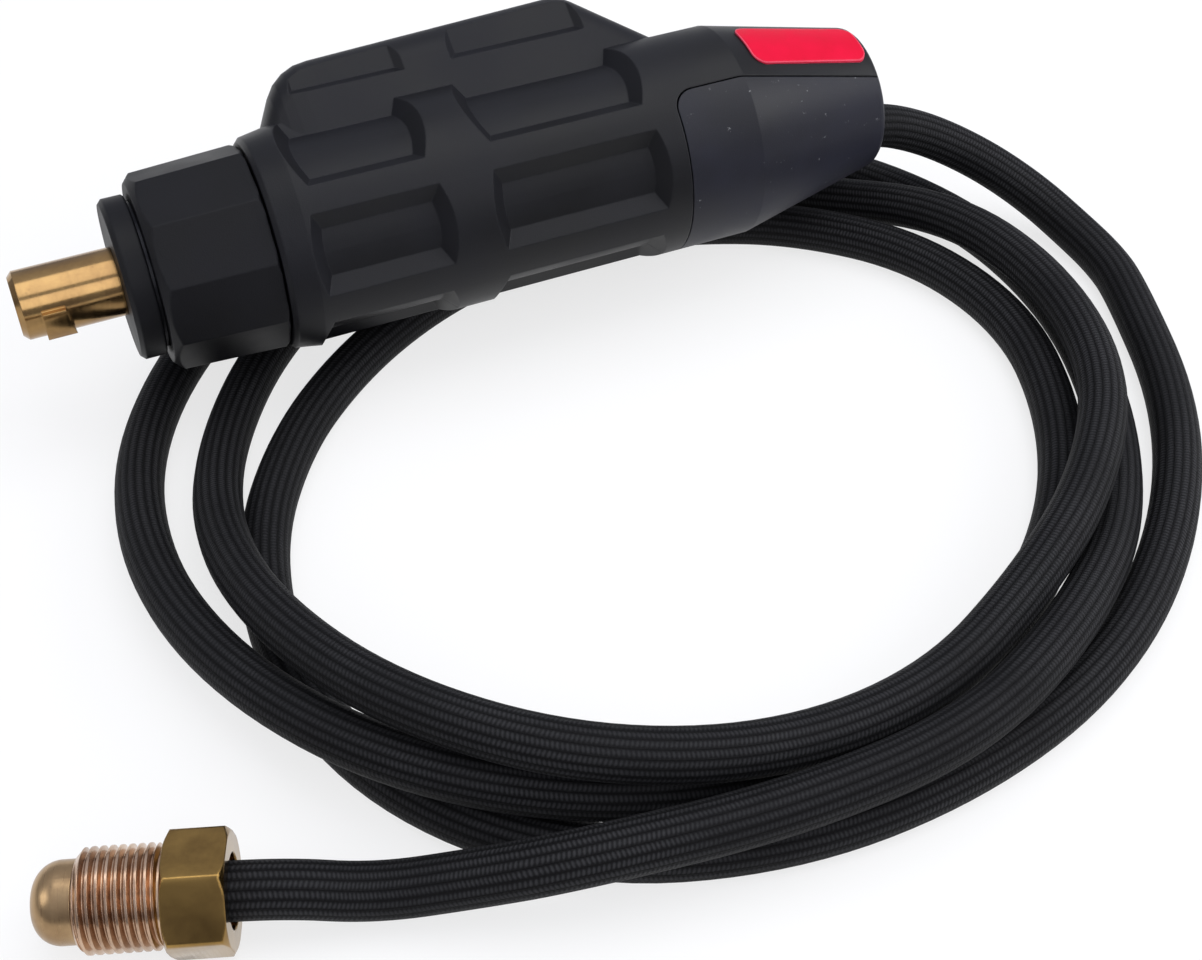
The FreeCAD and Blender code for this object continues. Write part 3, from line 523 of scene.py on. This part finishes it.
braidLook = {
    "columns": 18,
    "ribPitch": 0.00072,
    "slant": 0.38,
    "roundness": 0.6,         # lower makes each column's crown flatter
    "crownShare": 0.6,
    "weaveShare": 0.72,
    "fuzz": 2600.0,
    "fuzzShare": 0.35,
    "patch": 90.0,
    "patchShare": 0.10,
    "clearing": 30.0,         # higher makes the places where the weave shows less smaller
    "clearShades": (0.18, 0.46),
    "clearStops": (0.38, 0.62),
    # By the weave's height: the deep tone is painted shade in the grooves, the crest tone a painted
    # highlight on the crowns and ribs
    "deep": (0.0007, 0.0007, 0.0008),
    "middle": (0.0046, 0.0046, 0.0052),
    "crest": (0.030, 0.030, 0.032),
    "shadeAndHighlightStops": (0.18, 0.58, 1.0),
    "depth": 0.00028,
    "strength": 0.9,
    "roughness": (0.54, 0.76),
    "sheen": 0.01,
    "sheenRoughness": 0.4,
    "specular": 0.12,
}


def addShares(tree, first, firstShare, second, secondShare):
    return mathNode(tree, "ADD", mathNode(tree, "MULTIPLY", first, firstShare),
                    mathNode(tree, "MULTIPLY", second, secondShare))


# Columns run along the hose, each a rounded crown crossed by slanting ribs that change side
def weaveHeights(tree, look):
    uv = tree.nodes.new("ShaderNodeUVMap")
    uv.uv_map = "braid"
    split = tree.nodes.new("ShaderNodeSeparateXYZ")
    joinNodes(tree, uv.outputs["UV"], split.inputs[0])
    along, around = split.outputs[0], split.outputs[1]
    columns = mathNode(tree, "MULTIPLY", around, look["columns"])
    across = mathNode(tree, "FRACT", columns)
    odd = mathNode(tree, "MODULO", mathNode(tree, "FLOOR", columns), 2.0)
    side = mathNode(tree, "SUBTRACT", mathNode(tree, "MULTIPLY", odd, 2.0), 1.0)
    arch = mathNode(tree, "SINE", mathNode(tree, "MULTIPLY", across, math.pi))
    crown = mathNode(tree, "POWER", arch, look["roundness"])
    shifted = mathNode(tree, "MULTIPLY", side, mathNode(tree, "MULTIPLY", across, look["slant"]))
    steps = mathNode(tree, "ADD", mathNode(tree, "DIVIDE", along, look["ribPitch"]), shifted)
    wave = mathNode(tree, "SINE", mathNode(tree, "MULTIPLY", steps, 2 * math.pi))
    rib = mathNode(tree, "ADD", mathNode(tree, "MULTIPLY", wave, 0.5), 0.5)
    return crown, mathNode(tree, "MULTIPLY", rib, crown)


def braidMaterial(look):
    material, tree, surface = newMaterial("hoseBraid", look["middle"], look["roughness"])
    surface.inputs["Sheen Weight"].default_value = look["sheen"]
    surface.inputs["Sheen Roughness"].default_value = look["sheenRoughness"]
    surface.inputs["Specular IOR Level"].default_value = look["specular"]
    crown, woven = weaveHeights(tree, look)
    place = placeFrom(tree)
    fuzz = noiseFrom(tree, place, look["fuzz"], detail=3.0, rough=0.6)
    patch = noiseFrom(tree, place, look["patch"], detail=3.0)
    clearing = noiseFrom(tree, place, look["clearing"], detail=2.0)
    clear = grayRamp(tree, clearing, look["clearShades"], look["clearStops"])
    height = addShares(tree, crown, look["crownShare"], woven, clear)
    fuzzy = addShares(tree, fuzz, look["fuzzShare"], height, look["weaveShare"])
    mixed = mathNode(tree, "ADD", fuzzy, mathNode(tree, "MULTIPLY", patch, look["patchShare"]))
    # Colour follows the weave's height: painted shade in the grooves, painted highlights on the crests, with
    # random fuzz and patches
    color = rampFrom(tree, mixed, (look["deep"], look["middle"], look["crest"]), look["shadeAndHighlightStops"])
    colorAndRoughness(tree, surface, color, fuzz, look["roughness"])
    bumpFrom(tree, surface, fuzzy, look["depth"], look["strength"])
    return material


hoseBraid = braidMaterial(braidLook)

print("stage: hose")

hoseRest = -0.0261    # height of the hose's middle where it lies on the surface
layer = 0.0098        # lift of the hose where it lies on another turn
hose = {
    "radius": 0.0045,
    "ridge": 0.00012,     # how far each column of the braid stands out
    "pointsPerColumn": 6,
    "smoothness": 9,
    "start": (0.0768, 0.01623, 0.01411),
    "lead": [
        (0.0858, 0.01623, 0.01411),
        (0.0985, 0.0140, 0.0115),
        (0.1135, 0.0076, 0.0050),
        (0.1285, 0.0010, 0.0000),
        (0.1435, -0.0040, -0.0032),
        (0.1540, -0.0050, -0.0042),
        (0.1615, -0.0040, -0.0065),
        (0.1718, -0.0055, -0.0113),
        (0.1820, -0.0110, -0.0170),
        (0.1893, -0.0198, -0.0218),
        (0.1933, -0.0300, -0.0252),
        (0.1945, -0.0400, -0.0261),
    ],
    # The turns, as (distance from the centre, lift) at even steps clockwise from the right-hand side.
    # Of the first three, 31 pairs were fitted to the photographed lines by a scratch program.
    "centre": (0.0849, -0.050),
    "spread": 1.015,      # widens all the turns together
    "step": 20.0,
    "turns": [
        [(0.1066, 0), (0.1014, 0), (0.0975, 0), (0.0955, 0), (0.0936, 0), (0.0942, 0),
         (0.0952, 0), (0.0914, 0), (0.0838, 0), (0.0744, 0), (0.0660, 0), (0.0601, 0),
         (0.0575, 0), (0.0575, 0), (0.0595, 0), (0.0640, 0), (0.0710, 0), (0.0786, 0)],
        [(0.0810, 0), (0.0788, 0), (0.0780, 0), (0.0780, 0), (0.0796, 0),
         (0.0839, 0.0030), (0.0895, 0.0079), (0.0930, 0.0102), (0.0939, 0.0085),
         (0.0943, 0.0039), (0.0947, 0), (0.0928, 0), (0.0880, 0.0050), (0.0817, 0.0103),
         (0.0765, 0.0098), (0.0755, 0.0020), (0.0818, 0), (0.0874, 0.0064)],
        [(0.0872, 0.0089), (0.0862, 0.0095), (0.0815, 0.0100), (0.0791, 0.0095), (0.0825, 0.0090),
         (0.0857, 0.0123), (0.0887, 0.0175), (0.0876, 0.0182), (0.0842, 0.0138),
         (0.0813, 0.0061), (0.0791, 0), (0.0778, 0), (0.0780, 0), (0.0804, 0),
         (0.0850, 0), (0.0908, 0), (0.0950, 0), (0.0948, 0)],
        [(0.0918, 0), (0.0887, 0), (0.0880, 0.0010), (0.0882, 0.0071),
         (0.0924, layer), (0.0942, layer), (0.1015, 0.0092)],
    ],
    "tail": [
        (0.0205, -0.1336, hoseRest + 0.0046),
        (0.0063, -0.1280, hoseRest + 0.0012),
    ],
}
fitting = {
    "across": 0.0175,               # flats of the hexagon that it lies on
    "place": (-0.0133, -0.1217),    # middle of the hexagon's rear face
    "hoseEnd": 0.002,               # how far inside that face the hose ends
}
fittingSpot = Vector((*fitting["place"], floorHeight + fitting["across"] / 2))
fittingPlace = Matrix.Translation(fittingSpot) @ turnAbout("Z", fittingHeading, 4)


def turnPoints():
    points = []
    middleX, middleY = hose["centre"]
    places = [place for turn in hose["turns"] for place in turn]
    for number, (distance, lift) in enumerate(places):
        reach = distance * hose["spread"]
        angle = math.radians(-hose["step"] * number)
        x = middleX + reach * math.cos(angle)
        y = middleY + reach * math.sin(angle)
        points.append((x, y, hoseRest + lift))
    return points


def hoseRoute():
    points = [hose["start"]] + hose["lead"] + turnPoints() + hose["tail"]
    for back in (2 * hose["radius"], 0.0):
        points.append(fittingPlace @ Vector((fitting["hoseEnd"] - back, 0, 0)))
    return points


def routeCurve(points):
    curve = bpy.data.curves.new("hoseLine", "CURVE")
    curve.dimensions = "3D"
    curve.resolution_u = hose["smoothness"]
    spline = curve.splines.new("NURBS")
    spline.points.add(len(points) - 1)
    for place, point in zip(spline.points, points):
        place.co = (*point, 1)
    spline.order_u = 3
    spline.use_endpoint_u = True
    return curve


# The mesh that an object comes to with its curve and its modifiers worked out
def finishedMesh(item):
    bpy.context.view_layer.update()
    graph = bpy.context.evaluated_depsgraph_get()
    mesh = bpy.data.meshes.new_from_object(item.evaluated_get(graph))
    bpy.data.objects.remove(item)
    return mesh


# The braid's lengthwise columns, as the outline that the hose's line carries
def ridgedSection():
    curve = bpy.data.curves.new("hoseSection", "CURVE")
    curve.dimensions = "2D"
    spline = curve.splines.new("POLY")
    perColumn = hose["pointsPerColumn"]
    count = braidLook["columns"] * perColumn
    spline.points.add(count - 1)
    for i, point in enumerate(spline.points):
        angle = 2 * math.pi * i / count
        crown = abs(math.sin(math.pi * i / perColumn))
        radius = hose["radius"] - hose["ridge"] * (1 - crown)
        point.co = (radius * math.cos(angle), radius * math.sin(angle), 0, 1)
    spline.use_cyclic_u = True
    return addObject("hoseSection", curve), count


# Each corner's own place for the weave: how far along the hose, and what share of the way round
def addBraidMap(mesh, travelled, count):
    uv = mesh.uv_layers.new(name="braid")
    for face in mesh.polygons:
        corners = [mesh.loops[i].vertex_index for i in face.loop_indices]
        steps = [corner % count for corner in corners]
        wraps = max(steps) - min(steps) > 1
        for loopIndex, corner, step in zip(face.loop_indices, corners, steps):
            around = count if wraps and step == 0 else step
            ring = min(corner // count, len(travelled) - 1)
            uv.data[loopIndex].uv = (travelled[ring], around / count)
        face.use_smooth = True
    for other in [item.name for item in mesh.uv_layers if item.name != "braid"]:
        mesh.uv_layers.remove(mesh.uv_layers[other])


def makeHose():
    points = hoseRoute()
    line = finishedMesh(addObject("draft", routeCurve(points)))
    path = [Vector(vertex.co) for vertex in line.vertices]
    travelled = [0.0]
    for start, end in zip(path, path[1:]):
        travelled.append(travelled[-1] + (end - start).length)
    section, count = ridgedSection()
    tube = routeCurve(points)
    tube.bevel_mode = "OBJECT"
    tube.bevel_object = section
    mesh = finishedMesh(addObject("draft", tube))
    bpy.data.objects.remove(section)
    print("hose: rings", len(mesh.vertices) // count, "faces", len(mesh.polygons))
    addBraidMap(mesh, travelled, count)
    mesh.materials.clear()
    mesh.materials.append(hoseBraid)
    return addObject("gasHose", mesh), path, travelled[-1]


gasHose, hosePath, hoseLength = makeHose()
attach(gasHose, "adapter")
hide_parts("gas_hose_lead", "gas_hose_coil", "gas_hose_tail")
print("hose length", round(hoseLength, 4))

print("stage: gas fitting nut")


# Turns a closed outline of (along, distance from the axis) right round the X axis
def spinOutline(outline, steps):
    form = bmesh.new()
    corners = [form.verts.new((along, 0, distance)) for along, distance in outline]
    edges = [form.edges.new(pair) for pair in zip(corners, corners[1:] + corners[:1])]
    bmesh.ops.spin(form, geom=corners + edges, cent=(0, 0, 0), axis=(1, 0, 0),
                   angle=2 * math.pi, steps=steps, use_merge=True)
    bmesh.ops.recalc_face_normals(form, faces=form.faces)
    return form


# Gives a flat form its thickness
def raiseFaces(form, by):
    raised = bmesh.ops.extrude_face_region(form, geom=form.faces[:])
    moved = [item for item in raised["geom"] if isinstance(item, bmesh.types.BMVert)]
    bmesh.ops.translate(form, verts=moved, vec=by)
    bmesh.ops.recalc_face_normals(form, faces=form.faces)


# One closed shape combined with another
def combined(first, second, operation):
    keeper = addObject("keeper", first)
    cutter = addObject("cutter", second)
    modifier = keeper.modifiers.new("combined", "BOOLEAN")
    modifier.operation = operation
    modifier.solver = "EXACT"
    modifier.object = cutter
    mesh = finishedMesh(keeper)
    bpy.data.objects.remove(cutter)
    return mesh


def overlapOf(first, second, name):
    return combined(meshFrom(first, name), meshFrom(second, name + "Limit"), "INTERSECT")


gasNut = {
    "turned": 10.0,                     # how far the hexagon is turned about its axis
    "hexLength": 0.0094,
    "hexChamfer": (0.0008, 0.0012),     # along the axis and towards it
    "hexRound": 0.0004,
    "ringLength": 0.0011,
    "ringRadius": 0.0071,
    "ringTuck": 0.0004,                 # how far the ring reaches into the hexagon
    "crest": 0.00794,
    "root": 0.00706,
    "pitch": 0.001411,
    "threadLength": 0.0120,
    "threadTuck": 0.0006,               # how far the thread reaches into the ring
    "threadRunIn": 0.0010,
    "threadChamfer": 0.0011,
    "bore": 0.00575,
    "steps": 72,
    "threadSteps": 40,
    "clear": 0.0001,                    # how far a blank stands outside the corners and crests
    # One tooth of the thread, as (share of the pitch, its height)
    "tooth": [(0.0, "root"), (0.10, "root"), (0.42, "crest"), (0.68, "crest"), (1.0, "root")],
}


# A screw thread along X: the tooth's outline, carried round and forward
def threadRod(start, end):
    form = bmesh.new()
    pitch = gasNut["pitch"]
    steps = gasNut["threadSteps"]
    corners = []
    for share, height in gasNut["tooth"]:
        corners.append(form.verts.new((start + (share - 2) * pitch, 0, gasNut[height])))
    edges = [form.edges.new(pair) for pair in zip(corners, corners[1:])]
    turns = math.ceil((end - start) / pitch) + 3    # two before the start and one past the end
    bmesh.ops.spin(form, geom=corners + edges, cent=(0, 0, 0), axis=(1, 0, 0),
                   dvec=(pitch / steps, 0, 0), angle=2 * math.pi * turns, steps=steps * turns)
    bmesh.ops.remove_doubles(form, verts=form.verts, dist=weld)
    for place, side in ((start, -1), (end, 1)):
        geometry = form.verts[:] + form.edges[:] + form.faces[:]
        cut = bmesh.ops.bisect_plane(form, geom=geometry, plane_co=(place, 0, 0),
                                     plane_no=(side, 0, 0), clear_outer=True, dist=0.1 * weld)
        rim = [item for item in cut["geom_cut"] if isinstance(item, bmesh.types.BMEdge)]
        bmesh.ops.edgeloop_fill(form, edges=rim)
    bmesh.ops.recalc_face_normals(form, faces=form.faces)
    return form


def hexagonForm(start, end):
    form = bmesh.new()
    bmesh.ops.create_circle(form, cap_ends=True, segments=6, radius=fitting["across"] / math.sqrt(3))
    bmesh.ops.rotate(form, verts=form.verts, cent=(0, 0, 0), matrix=turnAbout("Y", 90))
    bmesh.ops.translate(form, verts=form.verts, vec=(start, 0, 0))
    raiseFaces(form, (end - start, 0, 0))
    half = 0.5 * (end - start)
    sides = [edge for edge in form.edges if abs(edge.verts[0].co.x - edge.verts[1].co.x) > half]
    bmesh.ops.bevel(form, geom=sides, offset=gasNut["hexRound"], offset_type="OFFSET", segments=2,
                    profile=0.5, affect="EDGES", material=-1)
    bmesh.ops.rotate(form, verts=form.verts, cent=(0, 0, 0), matrix=turnAbout("X", gasNut["turned"]))
    return form


def gasNutHead():
    slope, inset = gasNut["hexChamfer"]
    corner = fitting["across"] / math.sqrt(3)
    end = gasNut["hexLength"]
    blank = spinOutline([
        (0.0, gasNut["bore"]),
        (0.0, corner - inset),
        (slope, corner + gasNut["clear"]),
        (end - slope, corner + gasNut["clear"]),
        (end, corner - inset),
        (end, gasNut["bore"]),
    ], gasNut["steps"])
    return overlapOf(hexagonForm(-spare, end + spare), blank, "hexagon")


def gasNutScrew(start, end):
    outside = gasNut["crest"] + gasNut["clear"]
    blank = spinOutline([
        (start - gasNut["threadTuck"], gasNut["bore"]),
        (start - gasNut["threadTuck"], gasNut["root"] - 2 * gasNut["clear"]),
        (start - gasNut["threadTuck"] + gasNut["threadRunIn"], outside),
        (end - gasNut["threadChamfer"], outside),
        (end, gasNut["crest"] - gasNut["threadChamfer"]),
        (end, gasNut["bore"]),
    ], gasNut["steps"])
    return overlapOf(threadRod(start - spare, end + spare), blank, "thread")


def gasNutRing(start, end):
    ring = spinOutline([
        (start - gasNut["ringTuck"], gasNut["bore"]),
        (start - gasNut["ringTuck"], gasNut["ringRadius"]),
        (end, gasNut["ringRadius"]),
        (end, gasNut["bore"]),
    ], gasNut["steps"])
    return meshFrom(ring, "ring")


def makeGasNut():
    ringEnd = gasNut["hexLength"] + gasNut["ringLength"]
    front = ringEnd + gasNut["threadLength"]
    whole = bmesh.new()
    whole.from_mesh(gasNutHead())
    headFaces = len(whole.faces)
    whole.from_mesh(gasNutScrew(ringEnd, front))
    whole.from_mesh(gasNutRing(gasNut["hexLength"], ringEnd))
    for index, face in enumerate(whole.faces):
        face.material_index = 0 if index < headFaces else 1
        face.smooth = index >= headFaces
    bmesh.ops.transform(whole, verts=whole.verts, matrix=fittingPlace)
    mesh = meshFrom(whole, "gasNut")
    mesh.materials.append(hexagonBrassPaintedDark)
    mesh.materials.append(threadBrass)
    mesh.set_sharp_from_angle(angle=sharpAngle)
    print("gas nut faces", len(mesh.polygons))
    return addObject("gasFittingNut", mesh)


gasFittingNut = makeGasNut()
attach(gasFittingNut, "gas_fitting_nut")
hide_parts("gas_nut")

print("stage: label plate")

label = {
    # Seen from above, as (along the axis, to the side)
    "corners": [(0.1269, -0.0074), (0.1524, -0.0071), (0.1524, 0.0029), (0.1269, 0.0045)],
    "round": 0.0026,
    "roundSteps": 8,
    # The housing's rear cone that it lies on, as (along the axis, radius)
    "coneStart": (0.123, 0.0212),
    "coneEnd": (0.154, 0.0144),
    "depth": 0.0003,
    "proud": 0.00035,
    "steps": 180,
    # Heights between which its outline is cut from the cone's skin
    "cutFrom": 0.005,
    "cutTo": 0.035,
}


def coneRadius(along):
    (startX, startRadius), (endX, endRadius) = label["coneStart"], label["coneEnd"]
    return startRadius + (endRadius - startRadius) * (along - startX) / (endX - startX)


def labelOutline():
    form = bmesh.new()
    corners = [form.verts.new((x, y, label["cutFrom"])) for x, y in label["corners"]]
    form.faces.new(corners)
    bmesh.ops.bevel(form, geom=corners, offset=label["round"], offset_type="OFFSET",
                    segments=label["roundSteps"], profile=0.5, affect="VERTICES", material=-1)
    raiseFaces(form, (0, 0, label["cutTo"] - label["cutFrom"]))
    return form


def labelSkin():
    start = label["corners"][0][0] - spare
    end = label["corners"][1][0] + spare
    return spinOutline([
        (start, coneRadius(start) - label["depth"]),
        (start, coneRadius(start) + label["proud"]),
        (end, coneRadius(end) + label["proud"]),
        (end, coneRadius(end) - label["depth"]),
    ], label["steps"])


def makeLabel():
    mesh = overlapOf(labelOutline(), labelSkin(), "label")
    mesh.materials.clear()
    mesh.materials.append(labelRed)
    for face in mesh.polygons:
        face.use_smooth = True
    mesh.set_sharp_from_angle(angle=sharpAngle)
    print("label faces", len(mesh.polygons))
    return addObject("labelPlate", mesh)


labelPlate = makeLabel()
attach(labelPlate, "adapter")
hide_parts("label_plate")

print("stage: screws with their cross recess")

crossRecess = {
    "length": 0.0026,
    "width": 0.00062,
    "depth": 0.0010,
    "turns": (20, 110),
    "rim": 0.0001,       # how far below the highest point a head's rim may lie
    "lean": -49.0,       # degrees about the axis that the housing's parting is turned by
}


def slotForm(place, outward, turn):
    form = bmesh.new()
    bmesh.ops.create_cube(form, size=1.0)
    size = (crossRecess["length"], crossRecess["width"], 2 * crossRecess["depth"])
    bmesh.ops.scale(form, verts=form.verts, vec=size)
    bmesh.ops.rotate(form, verts=form.verts, cent=(0, 0, 0), matrix=turnAbout("Z", turn))
    aim = Matrix.Translation(place) @ outward.to_track_quat("Z", "Y").to_matrix().to_4x4()
    bmesh.ops.transform(form, verts=form.verts, matrix=aim)
    return meshFrom(form, "slot")


# Each separate screw's vertices
def screwIslands(form):
    found = set()
    for first in form.verts:
        if first in found:
            continue
        found.add(first)
        island = [first]
        for vertex in island:
            for edge in vertex.link_edges:
                other = edge.other_vert(vertex)
                if other not in found:
                    found.add(other)
                    island.append(other)
        yield island


# The middle of each screw's head, from the vertices that lie furthest out along its axis
def headPlaces(form, outward):
    places = []
    for island in screwIslands(form):
        top = max(vertex.co.dot(outward) for vertex in island)
        rim = [vertex.co for vertex in island if vertex.co.dot(outward) > top - crossRecess["rim"]]
        places.append(sum(rim, Vector()) / len(rim))
    return places


def makeScrews(name, node, outward):
    form = bmesh.new()
    form.from_mesh(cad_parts[node].data)
    bmesh.ops.remove_doubles(form, verts=form.verts, dist=weld)
    places = headPlaces(form, outward)
    mesh = meshFrom(form, name)
    for place in places:
        for turn in crossRecess["turns"]:
            mesh = combined(mesh, slotForm(place, outward, turn), "DIFFERENCE")
    mesh.materials.clear()
    mesh.materials.append(zincSteel)
    mesh.name = name
    piece = addObject(name, mesh)
    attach(piece, "adapter")
    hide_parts(node)
    print(name, "heads", len(places))


lean = turnAbout("X", crossRecess["lean"])
makeScrews("housingScrews", "housing_screws", lean @ Vector((0, 1, 0)))
makeScrews("coverScrews", "cover_screws", lean @ Vector((0, 0, -1)))

print("stage: finishes of the modelled nodes")

finishes = {
    "contact_plug": plugBrass,
    "pressure_flange": nutPlastic,
    "thrust_washer": blackSteel,
    "retaining_ring": blackSteel,
    "locking_nut": nutPlastic,
    "near_shell": housingPlastic,
    "far_shell": housingPlastic,
    "rear_cover": coverPlastic,
    "lock_washer": zincSteel,
    "power_block": insideBrass,
    "passage_plug": zincSteel,
    "torch_stud": insideBrass,
    "stud_jam_nut": insideBrass,
    "barb_washer": insideBrass,
    "gas_barb": insideBrass,
    "barb_ferrule": zincSteel,
    "end_ferrule": zincSteel,
    "ball_nipple": noseBrass,
}
for node, material in finishes.items():
    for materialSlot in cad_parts[node].material_slots:
        materialSlot.material = material
